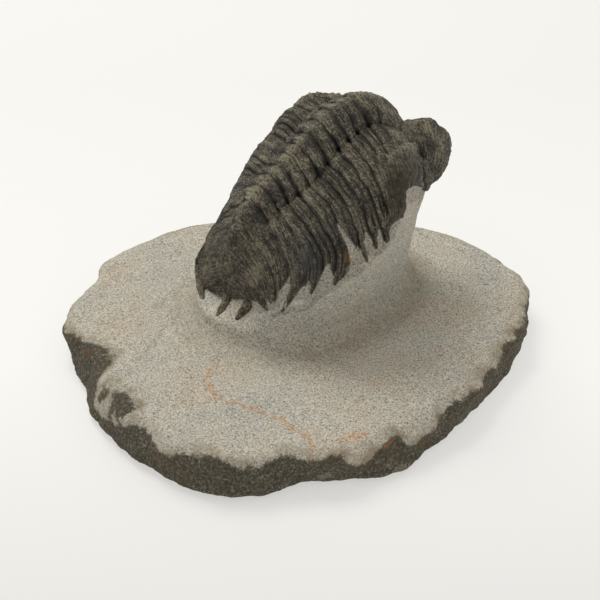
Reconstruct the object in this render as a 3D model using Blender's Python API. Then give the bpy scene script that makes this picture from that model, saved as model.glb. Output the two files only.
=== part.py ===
"""Trilobite fossil standing proud of the limestone slab that it was prepared from.

Two solids: the arched, partly enrolled trilobite, and the matrix rock, which is one
stone from its flat underside up to the pedestal left under the animal.
Lengths in the tables are millimetres; the meshes are in metres, +Z up, with the
underside of the slab at z = 0 and the slab's outline centred on the origin.
"""
import math

import bmesh
import bpy
import numpy as np

# ---- driving dimensions, millimetres and degrees
MM = 0.001
SLAB_THICKNESS = 13.6
SLAB_CROWN = 1.2            # how much the worked top rises from the rim to the pedestal
RIM_CHAMFER = 1.6
UNDERCUT = 4.0              # how far the flat underside stays inside the slab's outline
HEADING = 28.0              # the animal's head points this far round from +X
BODY_ORIGIN = (-0.6, 13.0)  # where the body's midline frame sits on the slab
BODY_HEART = (8.0, 0.0, 42.0)  # a point well inside the body
BODY_ROLL = 0.035           # the animal leans slightly to its right
TAIL_SKEW = 0.2             # the tail shield is turned a little,
TWIST_START = -8.0          # from this place on the body
TWIST_LENGTH = 14.0         # over this length
SEGMENTS = 11               # thoracic segments, between head and tail shields
RING_RELIEF = 0.9           # height of an axial ring over the furrow beside it
RIB_RELIEF = 0.6            # height of a side rib over its furrow
CHEEK_RELIEF = 0.8          # the cheek's border stands this far over the last ribs
EYE_RELIEF = 1.8
SEAT_GAP = 0.3          # clearance between fossil and rock
EDGE_INSET = 2.6            # the belly starts this far inside the body's edge
EDGE_LIFT = 0.5
FINGER_DEPTH = 0.6          # thickness of a finger, as a share of EDGE_INSET
FINGER_BACK = 0.8           # its inner side ends at this share of its length
WALL_INSET = 1.0            # the pedestal's wall stays this far inside the body's edge
FILLET = 6.5                # width of the hollow where the pedestal meets the slab

# Stations along the body, tail to head. A station number u from 0 to 11 counts segments.
# Each holds, in the body's own frame (p forward, q sideways, z up):
# crest (p, z), axial furrow (p, q, z), shoulder (p, q, z), flank (p, q, z), edge (p, q, z)
STATIONS = (
    (-3.5, (-24.5, 25.5), (-24.5, 0.0, 25.5), (-24.5, 0.0, 25.5), (-24.5, 0.0, 25.5), (-24.5, 0.0, 25.5)),
    (-3.0, (-25.2, 31.5), (-25.0, 4.0, 30.5), (-24.8, 8.5, 29.0), (-24.5, 12.0, 27.8), (-24.3, 13.0, 26.3)),
    (-2.0, (-23.0, 42.0), (-22.5, 5.5, 39.5), (-22.5, 12.0, 37.0), (-23.0, 17.0, 33.0), (-23.5, 18.5, 28.5)),
    (0.0, (-15.5, 57.5), (-14.4, 7.5, 53.4), (-15.0, 15.0, 49.5), (-16.5, 21.0, 42.0), (-20.5, 23.0, 32.5)),
    (1.0, (-11.5, 61.5), (-11.0, 8.5, 56.5), (-10.8, 18.0, 54.3), (-9.8, 26.0, 46.8), (-14.0, 27.3, 35.2)),
    (2.5, (-6.5, 65.5), (-6.0, 9.5, 58.8), (-5.3, 20.5, 58.4), (-4.3, 29.3, 49.8), (-7.9, 30.3, 40.0)),
    (5.0, (2.0, 72.0), (2.8, 10.0, 64.3), (4.0, 21.5, 65.0), (4.6, 31.5, 55.7), (1.5, 32.3, 44.6)),
    (7.0, (8.5, 78.5), (9.0, 10.0, 71.2), (9.5, 22.0, 71.8), (10.0, 32.0, 62.8), (8.0, 33.0, 48.8)),
    (9.0, (16.0, 83.0), (15.8, 9.8, 75.5), (16.0, 21.5, 75.8), (15.5, 31.5, 67.0), (15.0, 32.5, 55.2)),
    (11.0, (24.5, 84.5), (24.0, 9.3, 77.5), (22.5, 20.0, 76.5), (20.5, 28.5, 70.5), (20.5, 29.5, 61.5)),
    (12.5, (33.5, 79.5), (32.0, 9.0, 73.5), (29.5, 17.5, 71.5), (28.0, 22.5, 66.0), (27.5, 22.5, 60.0)),
    (13.5, (40.0, 70.5), (37.5, 8.5, 67.0), (35.0, 14.0, 65.0), (33.5, 17.5, 60.5), (33.5, 17.0, 55.5)),
    (15.0, (47.5, 69.5), (42.0, 10.0, 60.0), (39.5, 12.0, 58.5), (38.5, 12.5, 55.0), (38.5, 12.0, 51.0)),
    (16.5, (54.5, 59.5), (45.0, 9.0, 53.0), (43.5, 9.0, 51.5), (42.5, 8.5, 49.5), (42.5, 8.0, 47.5)),
    (17.5, (52.0, 49.0), (46.5, 5.5, 48.5), (45.5, 5.0, 47.5), (45.0, 4.5, 46.5), (45.0, 4.0, 45.5)),
    (18.0, (46.5, 44.5), (46.5, 0.0, 44.5), (46.5, 0.0, 44.5), (46.5, 0.0, 44.5), (46.5, 0.0, 44.5)),
)
# How wide the left side is against the right one, by station number
LEFT_WIDTH = ((-3.5, 0.92), (0.0, 0.84), (2.5, 0.86), (5.0, 0.92), (9.0, 0.95), (18.0, 1.0))
# Where along a half section, crest 0 to edge 1, the table's points lie
FURROW_AT, SHOULDER_AT, FLANK_AT = 0.30, 0.50, 0.76
# Finger-like ends of the ribs: station number, half width in stations, length
FINGERS = (
    (-3.08, 0.10, 3.5), (-1.9, 0.35, 3.0), (-0.7, 0.4, 2.2), (0.5, 0.5, 5.0),
    (1.5, 0.4, 2.0), (2.5, 0.5, 4.0), (3.5, 0.5, 4.0), (4.5, 0.5, 2.5), (5.5, 0.5, 4.0),
    (6.5, 0.5, 5.0), (7.5, 0.5, 4.0), (8.5, 0.5, 2.5),
)
FINGER_WAY = (-0.12, -0.05, -0.95)   # slightly backward and inward, and down

# Outlines as (angle, radius): the slab's about its own centre, counted from +X;
# the pedestal's foot about FOOT_CENTRE in the body's frame, counted from the head to the right
RIM = (
    (-180, 73.5), (-172, 67.9), (-159, 65.8), (-148, 68.4), (-134, 67.4), (-119, 68.7), (-102, 66.9),
    (-93, 62.8), (-77, 62.6), (-68, 59.6), (-57, 58.5), (-43, 58.4), (-34, 61.6), (-25, 62.6),
    (-11, 66.0), (1, 73.2), (9, 75.6), (18, 81.0), (30, 80.0), (42, 77.7), (57, 73.3), (71, 68.0),
    (90, 65.7), (108, 67.6), (122, 72.2), (138, 74.3), (151, 76.2), (157, 73.0), (170, 75.3),
)
FOOT_EDGE = (
    (-180, 73.0), (-172, 71.0), (-161, 69.3), (-155, 70.6), (-145, 69.6), (-129, 70.0), (-106, 68.2),
    (-98, 65.0), (-90, 60.0), (-77, 59.8), (-63, 62.0), (-46, 58.2), (-28, 59.8), (-11, 66.5),
    (0, 70.5), (12, 77.0), (25, 78.0), (42, 75.0), (57, 71.0), (71, 66.0), (90, 63.5), (108, 65.5),
    (122, 70.0), (138, 72.5), (151, 74.5), (160, 73.0), (172, 76.0),
)
FOOT_CENTRE = (5.0, 0.0)
PEDESTAL_FOOT = (
    (0, 37.0), (10, 33.5), (34, 27.7), (75, 22.8), (113, 26.0), (137, 30.0), (157, 33.6), (177, 37.0),
    (188, 37.3), (206, 36.7), (238, 28.3), (277, 25.2), (319, 30.5), (344, 36.4),
)

# Mesh resolution
RING_STEPS = (0.0, 0.2, 0.5, 0.8)     # stations placed within one segment
HALF_SECTION = 11                     # steps from crest to edge
BELLY_STEPS = 5
ROUND = 84                            # steps round the slab

COLOURS = {"trilobite": (0.060, 0.053, 0.043), "matrix_rock": (0.44, 0.40, 0.34)}
ROUGHNESS = {"trilobite": 0.55, "matrix_rock": 0.9}


def clear_scene():
    for obj in list(bpy.data.objects):
        bpy.data.objects.remove(obj, do_unlink=True)


def smooth_through(x, xs, ys):
    """Cubic curve through the rows of ys at the knots xs, read at every x."""
    x = np.clip(x, xs[0], xs[-1])
    i = np.clip(np.searchsorted(xs, x, side="right") - 1, 0, len(xs) - 2)
    step = np.diff(xs)
    slope = np.diff(ys, axis=0) / step[:, None]
    tangent = np.empty_like(ys)
    tangent[0] = slope[0]
    tangent[-1] = slope[-1]
    weight = (step[1:] + step[:-1])[:, None]
    tangent[1:-1] = (slope[:-1] * step[1:, None] + slope[1:] * step[:-1, None]) / weight
    t = ((x - xs[i]) / step[i])[..., None]
    h = step[i][..., None]
    start = (2 * t**3 - 3 * t**2 + 1) * ys[i] + (t**3 - 2 * t**2 + t) * h * tangent[i]
    end = (-2 * t**3 + 3 * t**2) * ys[i + 1] + (t**3 - t**2) * h * tangent[i + 1]
    return start + end


def round_outline(angle, points):
    """Radius of a closed outline, given as (degrees, radius) points, at angles in degrees."""
    table = np.array(points, float)
    xs = np.concatenate([table[-2:, 0] - 360, table[:, 0], table[:2, 0] + 360])
    ys = np.concatenate([table[-2:, 1], table[:, 1], table[:2, 1]])[:, None]
    start = table[0, 0]
    return smooth_through((np.asarray(angle, float) - start) % 360 + start, xs, ys)[..., 0]


def bump(x, centre, half_width):
    """Rounded hump of height 1 that is 0 beyond half_width."""
    t = np.clip(np.abs(x - centre) / half_width, 0, 1)
    return np.cos(t * math.pi / 2) ** 2


def ramp(x, start, end):
    t = np.clip((x - start) / (end - start), 0, 1)
    return t * t * (3 - 2 * t)


def half_section(u, v):
    """Smooth surface of the right side at stations u and section places v, as (p, q, z)."""
    knots = np.array([row[0] for row in STATIONS])
    crest, furrow, shoulder, flank, edge = (
        smooth_through(u, knots, np.array([row[k] for row in STATIONS], float)) for k in range(1, 6))
    turn = np.clip(v / FURROW_AT, 0, 1) * math.pi / 2
    rise = (np.cos(turn) ** 0.9)[..., None]
    lobe = furrow.copy()
    lobe[..., 0:1] += (crest[..., 0:1] - furrow[..., 0:1]) * rise
    lobe[..., 2:3] += (crest[..., 1:2] - furrow[..., 2:3]) * rise
    lobe[..., 1] = furrow[..., 1] * np.sin(turn)
    side = np.empty_like(lobe)
    for n in np.ndindex(v.shape):
        row = np.stack([furrow[n], shoulder[n], flank[n], edge[n]])
        places = np.array([FURROW_AT, SHOULDER_AT, FLANK_AT, 1.0])
        side[n] = smooth_through(np.array([max(v[n], FURROW_AT)]), places, row)[0]
    return np.where((v <= FURROW_AT)[..., None], lobe, side)


def finger_reach(u):
    """How far the body's edge runs down the pedestal as rib ends, at stations u."""
    reach = np.zeros_like(u)
    for centre, half_width, length in FINGERS:
        reach = np.maximum(reach, length * bump(u, centre, half_width))
    return reach


def relief(u, v):
    """Height of rings, ribs, cheek border and eye over the smooth surface."""
    groove = np.abs(np.sin(math.pi * u)) ** 0.6
    on_thorax = ramp(u, -1.2, 0.0) * (1 - ramp(u, 11.2, 12.2))
    ring = RING_RELIEF * (groove - 0.6) * on_thorax * (1 - ramp(v, 0.24, 0.32))
    border = 12.6 - 4.4 * np.clip((v - FURROW_AT) / 0.7, 0, 1)
    on_cheek = ramp(u, border - 0.35, border + 0.1) * ramp(v, 0.27, 0.36)
    ribs = on_thorax * ramp(v, 0.30, 0.42) * (1 - on_cheek)
    rib = RIB_RELIEF * (groove - 0.6) * ribs
    cheek = CHEEK_RELIEF * on_cheek * (1 - ramp(u, 14.0, 16.0))
    eye = EYE_RELIEF * bump(u, 13.2, 1.1) * bump(v, 0.58, 0.17)
    return ring + rib + cheek + eye


def place_body(local, follow=1.0):
    """From the body's frame to the slab's; follow 0 leaves out the body's own lean and twist."""
    p, q, z = local[..., 0], local[..., 1], local[..., 2]
    p = p + follow * TAIL_SKEW * q * np.clip((TWIST_START - p) / TWIST_LENGTH, 0, 1)
    z = z - follow * BODY_ROLL * q
    turn = math.radians(HEADING)
    x = BODY_ORIGIN[0] + p * math.cos(turn) + q * math.sin(turn)
    y = BODY_ORIGIN[1] + p * math.sin(turn) - q * math.cos(turn)
    return np.stack([x, y, z], axis=-1)


def left_width(u):
    table = np.array(LEFT_WIDTH)
    return smooth_through(u, table[:, 0], table[:, 1:2])[..., 0]


def body_stations():
    tail = [-3.44, -3.36, -3.28, -3.18, -3.08, -3.0, -2.8, -2.4, -1.9, -1.5, -1.1, -0.7, -0.35]
    thorax = [k + step for k in range(SEGMENTS) for step in RING_STEPS]
    head = [11.0, 11.5, 12.0, 12.3, 12.6, 13.0, 13.4, 13.9, 14.4, 15.0, 15.6, 16.2, 16.8, 17.3, 17.7, 17.9]
    return np.array(tail + thorax + head)


def dorsal_grid(u):
    """Rows of points across the back, left edge to right edge, one row for each station."""
    v = np.concatenate([np.linspace(-1, 0, HALF_SECTION + 1), np.linspace(0, 1, HALF_SECTION + 1)[1:]])
    grid_u, grid_v = np.meshgrid(u, v, indexing="ij")
    side = np.where(grid_v < 0, -1.0, 1.0)
    local = half_section(grid_u, np.abs(grid_v))
    width = np.where(grid_v < 0, left_width(grid_u), 1.0)
    local[..., 1] *= side * width
    along = np.gradient(local, axis=0)
    across = np.gradient(local, axis=1)
    normal = np.cross(across, along)
    normal /= np.maximum(np.linalg.norm(normal, axis=-1, keepdims=True), 1e-9)
    away = np.sum(normal * (local - np.array(BODY_HEART)), axis=-1, keepdims=True)
    normal *= np.where(away < 0, -1, 1)
    return local + normal * relief(grid_u, np.abs(grid_v))[..., None]


def edge_points(u, side):
    """The body's lower edge, without fingers, at stations u on one side."""
    local = half_section(u, np.ones_like(u))
    width = left_width(u) if side < 0 else 1.0
    local[..., 1] *= side * width
    return local


def body_rings():
    """Closed rings round the body: across the back, then back under the belly."""
    u = body_stations()
    back = dorsal_grid(u)
    reach = finger_reach(u)
    right = edge_points(u, 1)
    left = edge_points(u, -1)
    rings = []
    for n in range(len(u)):
        row = back[n].copy()
        row[0] += np.array(FINGER_WAY) * (1, -1, 1) * reach[n]
        row[-1] += np.array(FINGER_WAY) * reach[n]
        under_right, under_left = under_edge(right[n]), under_edge(left[n])
        belly = np.linspace(under_right, under_left, BELLY_STEPS)
        drop = np.array([0.0, 0.0, -FINGER_BACK * reach[n]])
        back_right = right[n] + FINGER_DEPTH * (under_right - right[n]) + drop
        back_left = left[n] + FINGER_DEPTH * (under_left - left[n]) + drop
        rings.append(np.vstack([row, back_right, belly, back_left]))
    return rings


def under_edge(edge):
    """Where the belly starts, a little inside and above a point of the body's edge."""
    inward = np.array([BODY_HEART[0] - edge[0], -edge[1]])
    inset = min(EDGE_INSET, 0.3 + 0.4 * abs(edge[1]))
    inward *= inset / np.linalg.norm(inward)
    return edge + (inward[0], inward[1], EDGE_LIFT)


def loft(name, rings, first, last, collection):
    """Closed mesh through rings of equal count, each end closed on a single point."""
    count = len(rings[0])
    points = [first] + [p for ring in rings for p in ring] + [last]
    faces = []
    for k in range(count):
        after = (k + 1) % count
        faces.append((0, 1 + after, 1 + k))
        for n in range(len(rings) - 1):
            low = 1 + n * count
            high = low + count
            faces.append((low + k, low + after, high + after, high + k))
        end = 1 + (len(rings) - 1) * count
        faces.append((end + k, end + after, len(points) - 1))
    mesh = bpy.data.meshes.new(name)
    mesh.from_pydata([tuple(float(c) * MM for c in p) for p in points], [], faces)
    mesh.update()
    tidy_mesh(mesh)
    obj = bpy.data.objects.new(name, mesh)
    collection.objects.link(obj)
    return obj


def tidy_mesh(mesh):
    """Triangles only, all facing outwards."""
    work = bmesh.new()
    work.from_mesh(mesh)
    bmesh.ops.triangulate(work, faces=work.faces)
    bmesh.ops.recalc_face_normals(work, faces=work.faces)
    if work.calc_volume(signed=True) < 0:
        bmesh.ops.reverse_faces(work, faces=work.faces)
    work.to_mesh(mesh)
    work.free()


def make_body(name, collection):
    tail = np.array([STATIONS[0][1][0], 0.0, STATIONS[0][1][1]])
    head = np.array([STATIONS[-1][1][0], 0.0, STATIONS[-1][1][1]])
    rings = [place_body(ring) for ring in body_rings()]
    return loft(name, rings, place_body(tail), place_body(head), collection)


def pushed_out_copy(obj, name, distance, collection):
    """Copy of a mesh whose every face has moved outwards by about the distance."""
    work = bmesh.new()
    work.from_mesh(obj.data)
    work.normal_update()
    moves = [v.normal * min(v.calc_shell_factor(), 2.0) * distance for v in work.verts]
    for vert, move in zip(work.verts, moves):
        vert.co += move
    mesh = bpy.data.meshes.new(name)
    work.to_mesh(mesh)
    work.free()
    copy = bpy.data.objects.new(name, mesh)
    collection.objects.link(copy)
    return copy


def body_edge_by_angle(angle):
    """Radius and height of the body's lower edge about FOOT_CENTRE, at angles in degrees."""
    u = np.concatenate([np.linspace(-3.45, -3.0, 10), np.linspace(-2.8, 17.9, 80)])
    right = edge_points(u, 1)
    left = edge_points(u, -1)[::-1]
    loop = np.vstack([right[::-1], left[::-1]])
    x = loop[:, 0] - FOOT_CENTRE[0]
    y = loop[:, 1] - FOOT_CENTRE[1]
    at = np.degrees(np.arctan2(y, x)) % 360
    order = np.argsort(at)
    radius = np.hypot(x, y)
    return (np.interp(angle % 360, at[order], radius[order], period=360),
            np.interp(angle % 360, at[order], loop[order, 2], period=360))


def belly_height(p):
    """Height of the body's lower edge at places p along it."""
    u = np.linspace(-3.0, 17.5, 60)
    edge = edge_points(u, 1)
    order = np.argsort(edge[:, 0])
    return np.interp(p, edge[order, 0], edge[order, 2])


def rock_rings():
    """Rings from the flat underside, up the slab's side, over its top and up the pedestal."""
    angle = np.arange(ROUND) * 360.0 / ROUND
    rad = np.radians(angle)
    top = SLAB_THICKNESS

    def slab_ring(radius, height):
        return np.stack([radius * np.cos(rad), radius * np.sin(rad), np.broadcast_to(height, rad.shape)], -1)

    # the body's frame counts its angles from the head round to the right, which is clockwise seen from above
    body_angle = (HEADING - angle) % 360
    body_rad = np.radians(body_angle)
    foot = round_outline(body_angle, PEDESTAL_FOOT)
    edge_radius, edge_height = body_edge_by_angle(body_angle)

    def pedestal_ring(radius, height, follow=0.0):
        p = FOOT_CENTRE[0] + radius * np.cos(body_rad)
        q = FOOT_CENTRE[1] + radius * np.sin(body_rad)
        return place_body(np.stack([p, q, np.broadcast_to(height, rad.shape)], -1), follow)

    rim = round_outline((angle + 180) % 360 - 180, RIM)
    low = round_outline((angle + 180) % 360 - 180, FOOT_EDGE)
    rings = [slab_ring(low - UNDERCUT, 0.0)]
    rings.append(slab_ring(low, 1.7))
    rings.append(slab_ring(0.6 * low + 0.4 * rim + 0.6, 5.0))
    rings.append(slab_ring(0.2 * low + 0.8 * rim + 0.6, 9.0))
    rings.append(slab_ring(rim, top - RIM_CHAMFER))
    rings.append(slab_ring(rim - 1.3 * RIM_CHAMFER, top))
    outer = rings[-1]
    inner = pedestal_ring(foot + FILLET, top + SLAB_CROWN)
    for share in (0.2, 0.45, 0.7, 0.9):
        ring = outer + (inner - outer) * share
        ring[:, 2] = top + SLAB_CROWN * share ** 0.7
        rings.append(ring)
    for out, up in ((FILLET, 0.0), (0.55 * FILLET, 0.8), (0.22 * FILLET, 2.6), (0.04 * FILLET, 5.4)):
        rings.append(pedestal_ring(foot + out, top + SLAB_CROWN + up))
    wall_foot = top + SLAB_CROWN + 5.4
    wall_top = edge_height + 2.6
    for share in (0.35, 0.7, 1.0):
        radius = foot + (edge_radius - WALL_INSET - foot) * share
        rings.append(pedestal_ring(radius, wall_foot + (wall_top - wall_foot) * share, share))
    for share in (0.82, 0.45):
        radius = (edge_radius - WALL_INSET) * share
        p = FOOT_CENTRE[0] + radius * np.cos(body_rad)
        rings.append(pedestal_ring(radius, belly_height(p) + 4.0, 1.0))
    return rings


def make_rock(name, collection):
    rings = rock_rings()
    peak = np.array([FOOT_CENTRE[0], FOOT_CENTRE[1], belly_height(FOOT_CENTRE[0]) + 4.5])
    return loft(name, rings, np.zeros(3), place_body(peak), collection)


def add_material(obj):
    mat = bpy.data.materials.new(obj.name)
    mat.use_nodes = True
    shader = mat.node_tree.nodes["Principled BSDF"]
    shader.inputs["Base Color"].default_value = (*COLOURS[obj.name], 1.0)
    shader.inputs["Roughness"].default_value = ROUGHNESS[obj.name]
    shader.inputs["Metallic"].default_value = 0.0
    obj.data.materials.append(mat)


def seat_in(rock, cutter):
    """Cut the seat that holds the fossil out of the top of the rock."""
    cut = rock.modifiers.new("seat", "BOOLEAN")
    cut.operation = "DIFFERENCE"
    cut.solver = "EXACT"
    cut.object = cutter
    cutter.hide_render = True
    cutter.display_type = "WIRE"
    evaluated = rock.evaluated_get(bpy.context.evaluated_depsgraph_get())
    mesh = bpy.data.meshes.new_from_object(evaluated)
    rock.modifiers.remove(cut)
    rock.data = mesh
    keep_largest_body(mesh)


def keep_largest_body(mesh):
    """Crumbs of rock that the cut leaves standing loose are cleared away."""
    work = bmesh.new()
    work.from_mesh(mesh)
    unseen = set(work.verts)
    bodies = []
    while unseen:
        todo = [unseen.pop()]
        body = set(todo)
        while todo:
            vert = todo.pop()
            for edge in vert.link_edges:
                other = edge.other_vert(vert)
                if other not in body:
                    body.add(other)
                    todo.append(other)
        unseen -= body
        bodies.append(body)
    bodies.sort(key=len)
    for body in bodies[:-1]:
        bmesh.ops.delete(work, geom=list(body), context="VERTS")
    work.to_mesh(mesh)
    work.free()


def main():
    clear_scene()
    parts = bpy.data.collections.new("trilobite_fossil")
    cutters = bpy.data.collections.new("cutters")
    bpy.context.scene.collection.children.link(parts)
    bpy.context.scene.collection.children.link(cutters)
    trilobite = make_body("trilobite", parts)
    rock = make_rock("matrix_rock", parts)
    seat = pushed_out_copy(trilobite, "seat_cutter", SEAT_GAP * MM, cutters)
    seat_in(rock, seat)
    for obj in (trilobite, rock):
        add_material(obj)
        obj.data.shade_smooth()


main()
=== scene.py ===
import math

import bpy
import numpy as np
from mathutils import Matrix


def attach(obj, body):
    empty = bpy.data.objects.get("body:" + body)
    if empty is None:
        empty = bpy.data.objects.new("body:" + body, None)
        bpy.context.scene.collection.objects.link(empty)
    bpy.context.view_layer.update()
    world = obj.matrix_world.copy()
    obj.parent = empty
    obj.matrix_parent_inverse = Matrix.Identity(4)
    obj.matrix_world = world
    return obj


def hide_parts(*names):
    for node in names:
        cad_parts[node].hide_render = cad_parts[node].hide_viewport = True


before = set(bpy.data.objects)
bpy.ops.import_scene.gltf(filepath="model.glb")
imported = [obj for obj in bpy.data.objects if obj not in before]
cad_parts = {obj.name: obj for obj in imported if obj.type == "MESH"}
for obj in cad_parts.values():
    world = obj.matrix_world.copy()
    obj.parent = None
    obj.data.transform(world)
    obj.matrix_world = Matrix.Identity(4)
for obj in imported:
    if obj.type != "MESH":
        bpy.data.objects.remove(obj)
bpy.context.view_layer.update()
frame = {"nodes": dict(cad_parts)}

mm = 0.001                       # sizes below are millimetres and degrees unless a note says metres
scene = bpy.context.scene
print("frame loaded:", ", ".join(frame["nodes"]))


def ramp(x, start, end):
    # 0 up to start, 1 past end, smooth between
    t = np.clip((x - start) / (end - start), 0, 1)
    return t * t * (3 - 2 * t)


def between(x, start, full, fade, end):
    # 0 outside start and end, 1 from full to fade
    return ramp(x, start, full) * (1 - ramp(x, fade, end))


def bump(x, centre, halfWidth):
    # 1 at the centre, 0 from the half width on
    return np.cos(np.clip(np.abs(x - centre) / halfWidth, 0, 1) * math.pi / 2) ** 2


def curveThrough(x, knots, rows):
    # smooth curve through the rows at the knots, read at every x; a row may be one point or a grid of points
    x = np.clip(np.asarray(x, float), knots[0], knots[-1])[..., None]
    rows = [np.asarray(row, float) for row in rows]
    step = np.diff(knots)
    slope = [(rows[i + 1] - rows[i]) / step[i] for i in range(len(step))]
    tangent = [slope[0]]
    for i in range(1, len(step)):
        tangent.append((slope[i - 1] * step[i] + slope[i] * step[i - 1]) / (step[i] + step[i - 1]))
    tangent.append(slope[-1])
    result = 0
    for i, width in enumerate(step):
        t = np.clip((x - knots[i]) / width, 0, 1)
        start = (2 * t**3 - 3 * t**2 + 1) * rows[i] + (t**3 - 2 * t**2 + t) * width * tangent[i]
        end = (3 * t**2 - 2 * t**3) * rows[i + 1] + (t**3 - t**2) * width * tangent[i + 1]
        result = start + end if i == 0 else np.where(x > knots[i], start + end, result)
    return result


def readCurve(x, points):
    return curveThrough(x, [p[0] for p in points], [(p[1],) for p in points])[..., 0]


def readRound(angle, points):
    # a closed outline of (degrees, value) points
    start = points[0][0]
    wrapped = [(a - 360, r) for a, r in points[-2:]] + list(points) + [(a + 360, r) for a, r in points[:2]]
    return readCurve((np.asarray(angle, float) - start) % 360 + start, wrapped)


def segmentDistance(points, start, end):
    # distance to a line from start to end, and how far along it the nearest place is
    start, end = np.array(start, float), np.array(end, float)
    way = end - start
    t = np.clip(((points - start) @ way) / (way @ way), 0, 1)
    return np.linalg.norm(points - start - t[..., None] * way, axis=-1), t


def meshFromRings(name, rings, first, last, attributes):
    # closed mesh through rings of points, each end closed on one point
    total, count = rings.shape[:2]
    points = np.vstack([first[None], rings.reshape(-1, 3), last[None]])
    end = 1 + (total - 1) * count
    around = [(k, (k + 1) % count) for k in range(count)]
    faces = [(low + k, low + after, low + count + after, low + count + k)
             for low in range(1, end, count) for k, after in around]
    faces += [(0, 1 + after, 1 + k) for k, after in around]
    faces += [(end + k, end + after, len(points) - 1) for k, after in around]
    mesh = bpy.data.meshes.new(name)
    mesh.from_pydata((points * mm).tolist(), [], faces)
    for key, grid in attributes.items():
        layer = mesh.attributes.new(key, "FLOAT", "POINT")
        flat = np.concatenate([grid[0, :1], grid.ravel(), grid[-1, -1:]]).astype(np.float32)
        layer.data.foreach_set("value", flat)
    mesh.update()
    # one face in seven is enough to tell whether they all point inwards
    corners = np.array([points[list(face[:3])] for face in faces[::7]])
    volume = np.einsum("ij,ij->i", corners[:, 0] - points.mean(0), np.cross(
        corners[:, 1] - corners[:, 0], corners[:, 2] - corners[:, 0])).sum()
    if volume < 0:
        mesh.flip_normals()
    mesh.shade_smooth()
    return mesh


def addNode(tree, kind, inputs=None, stops=None, **settings):
    # adds a node, its settings, its values or links by input name or number, and a colour ramp's stops
    node = tree.nodes.new(kind)
    for key, value in settings.items():
        setattr(node, key, value)
    for key, value in (inputs or {}).items():
        if isinstance(value, bpy.types.Node):
            value = next(output for output in value.outputs if output.enabled)
        if isinstance(value, bpy.types.NodeSocket):
            tree.links.new(value, node.inputs[key])
        else:
            node.inputs[key].default_value = value
    if stops:
        node.color_ramp.elements.remove(node.color_ramp.elements[1])
        node.color_ramp.elements[0].position = stops[0][0]
        node.color_ramp.elements[0].color = stops[0][1]
        for place, colour in stops[1:]:
            node.color_ramp.elements.new(place).color = colour
    return node


def addSteps(tree, known, steps):
    # a sum worked out line by line: name, operation, and what it works on, by name or as a number
    for name, operation, *values in steps:
        inputs = {n: known.get(value, value) for n, value in enumerate(values)}
        if operation == "SMOOTHSTEP":
            known[name] = addNode(tree, "ShaderNodeMapRange", inputs, interpolation_type=operation)
        else:
            known[name] = addNode(tree, "ShaderNodeMath", inputs, operation=operation)
    return known


def hexColour(code):
    # sRGB hex to linear
    parts = [int(code[n:n + 2], 16) / 255 for n in (1, 3, 5)]
    return tuple(c / 12.92 if c <= 0.04045 else ((c + 0.055) / 1.055) ** 2.4 for c in parts) + (1.0,)


def toneStops(look, stops):
    # a colour ramp's stops, each a place and the name of a colour in the look
    return [(place, hexColour(look[key])) for place, key in stops]


def layColours(tree, known, look, colour, layers):
    # lays each colour of the look over the ones before it, as far as its mask says
    for mask, key in layers:
        colour = addNode(tree, "ShaderNodeMix", {"Factor": known[mask], 6: colour, 7: hexColour(look[key])},
                         data_type="RGBA", clamp_factor=True).outputs[2]
    return colour


def grainScale(size):
    # noise scale whose features are this many millimetres across
    return 1 / (size * mm)


def newMaterial(name, roughness, specular):
    material = bpy.data.materials.new(name)
    material.use_nodes = True
    shader = material.node_tree.nodes["Principled BSDF"]
    shader.inputs["Roughness"].default_value = roughness
    shader.inputs["Specular IOR Level"].default_value = specular
    print("material", name)
    return material, material.node_tree, shader


def newGeometryTree(name, sizes):
    tree = bpy.data.node_groups.new(name, "GeometryNodeTree")
    tree.interface.new_socket("Geometry", in_out="INPUT", socket_type="NodeSocketGeometry")
    for key, value in sizes.items():
        socket = tree.interface.new_socket(key, in_out="INPUT", socket_type="NodeSocketFloat")
        socket.default_value = value
    tree.interface.new_socket("Material", in_out="INPUT", socket_type="NodeSocketMaterial")
    tree.interface.new_socket("Geometry", in_out="OUTPUT", socket_type="NodeSocketGeometry")
    return tree


def finishTree(tree, entry, total, hollow, start=None):
    # moves the surface along its normal, keeps the hollows for the material, and ends in plain geometry
    reach = addNode(tree, "ShaderNodeMath", {0: total, 1: mm}, operation="MULTIPLY")
    normal = addNode(tree, "GeometryNodeInputNormal")
    move = addNode(tree, "ShaderNodeVectorMath", {0: normal, "Scale": reach}, operation="SCALE")
    store = addNode(tree, "GeometryNodeStoreNamedAttribute",
                    {"Geometry": start or entry.outputs["Geometry"], "Name": "hollow", "Value": hollow})
    moved = addNode(tree, "GeometryNodeSetPosition", {"Geometry": store, "Offset": move})
    real = addNode(tree, "GeometryNodeRealizeInstances", {"Geometry": moved})
    painted = addNode(tree, "GeometryNodeSetMaterial",
                      {"Geometry": real, "Material": entry.outputs["Material"]})
    addNode(tree, "NodeGroupOutput", {"Geometry": painted})


def shapeByNodes(name, data, tree, sizes, material):
    # runs the tree on a mesh or curve and keeps the result as a plain mesh
    base = bpy.data.objects.new(name + "_base", data)
    scene.collection.objects.link(base)
    modifier = base.modifiers.new("relief", "NODES")
    modifier.node_group = tree
    for item in tree.interface.items_tree:
        if item.in_out == "INPUT" and item.name in sizes:
            modifier[item.identifier] = float(sizes[item.name])
        elif item.in_out == "INPUT" and item.name == "Material":
            modifier[item.identifier] = material
    evaluated = base.evaluated_get(bpy.context.evaluated_depsgraph_get())
    result = bpy.data.meshes.new_from_object(evaluated)
    result.name = name
    base.modifiers.remove(modifier)
    bpy.data.objects.remove(base)
    piece = bpy.data.objects.new(name, result)
    scene.collection.objects.link(piece)
    print("made", name, "with", len(result.polygons), "faces")
    return piece


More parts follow.
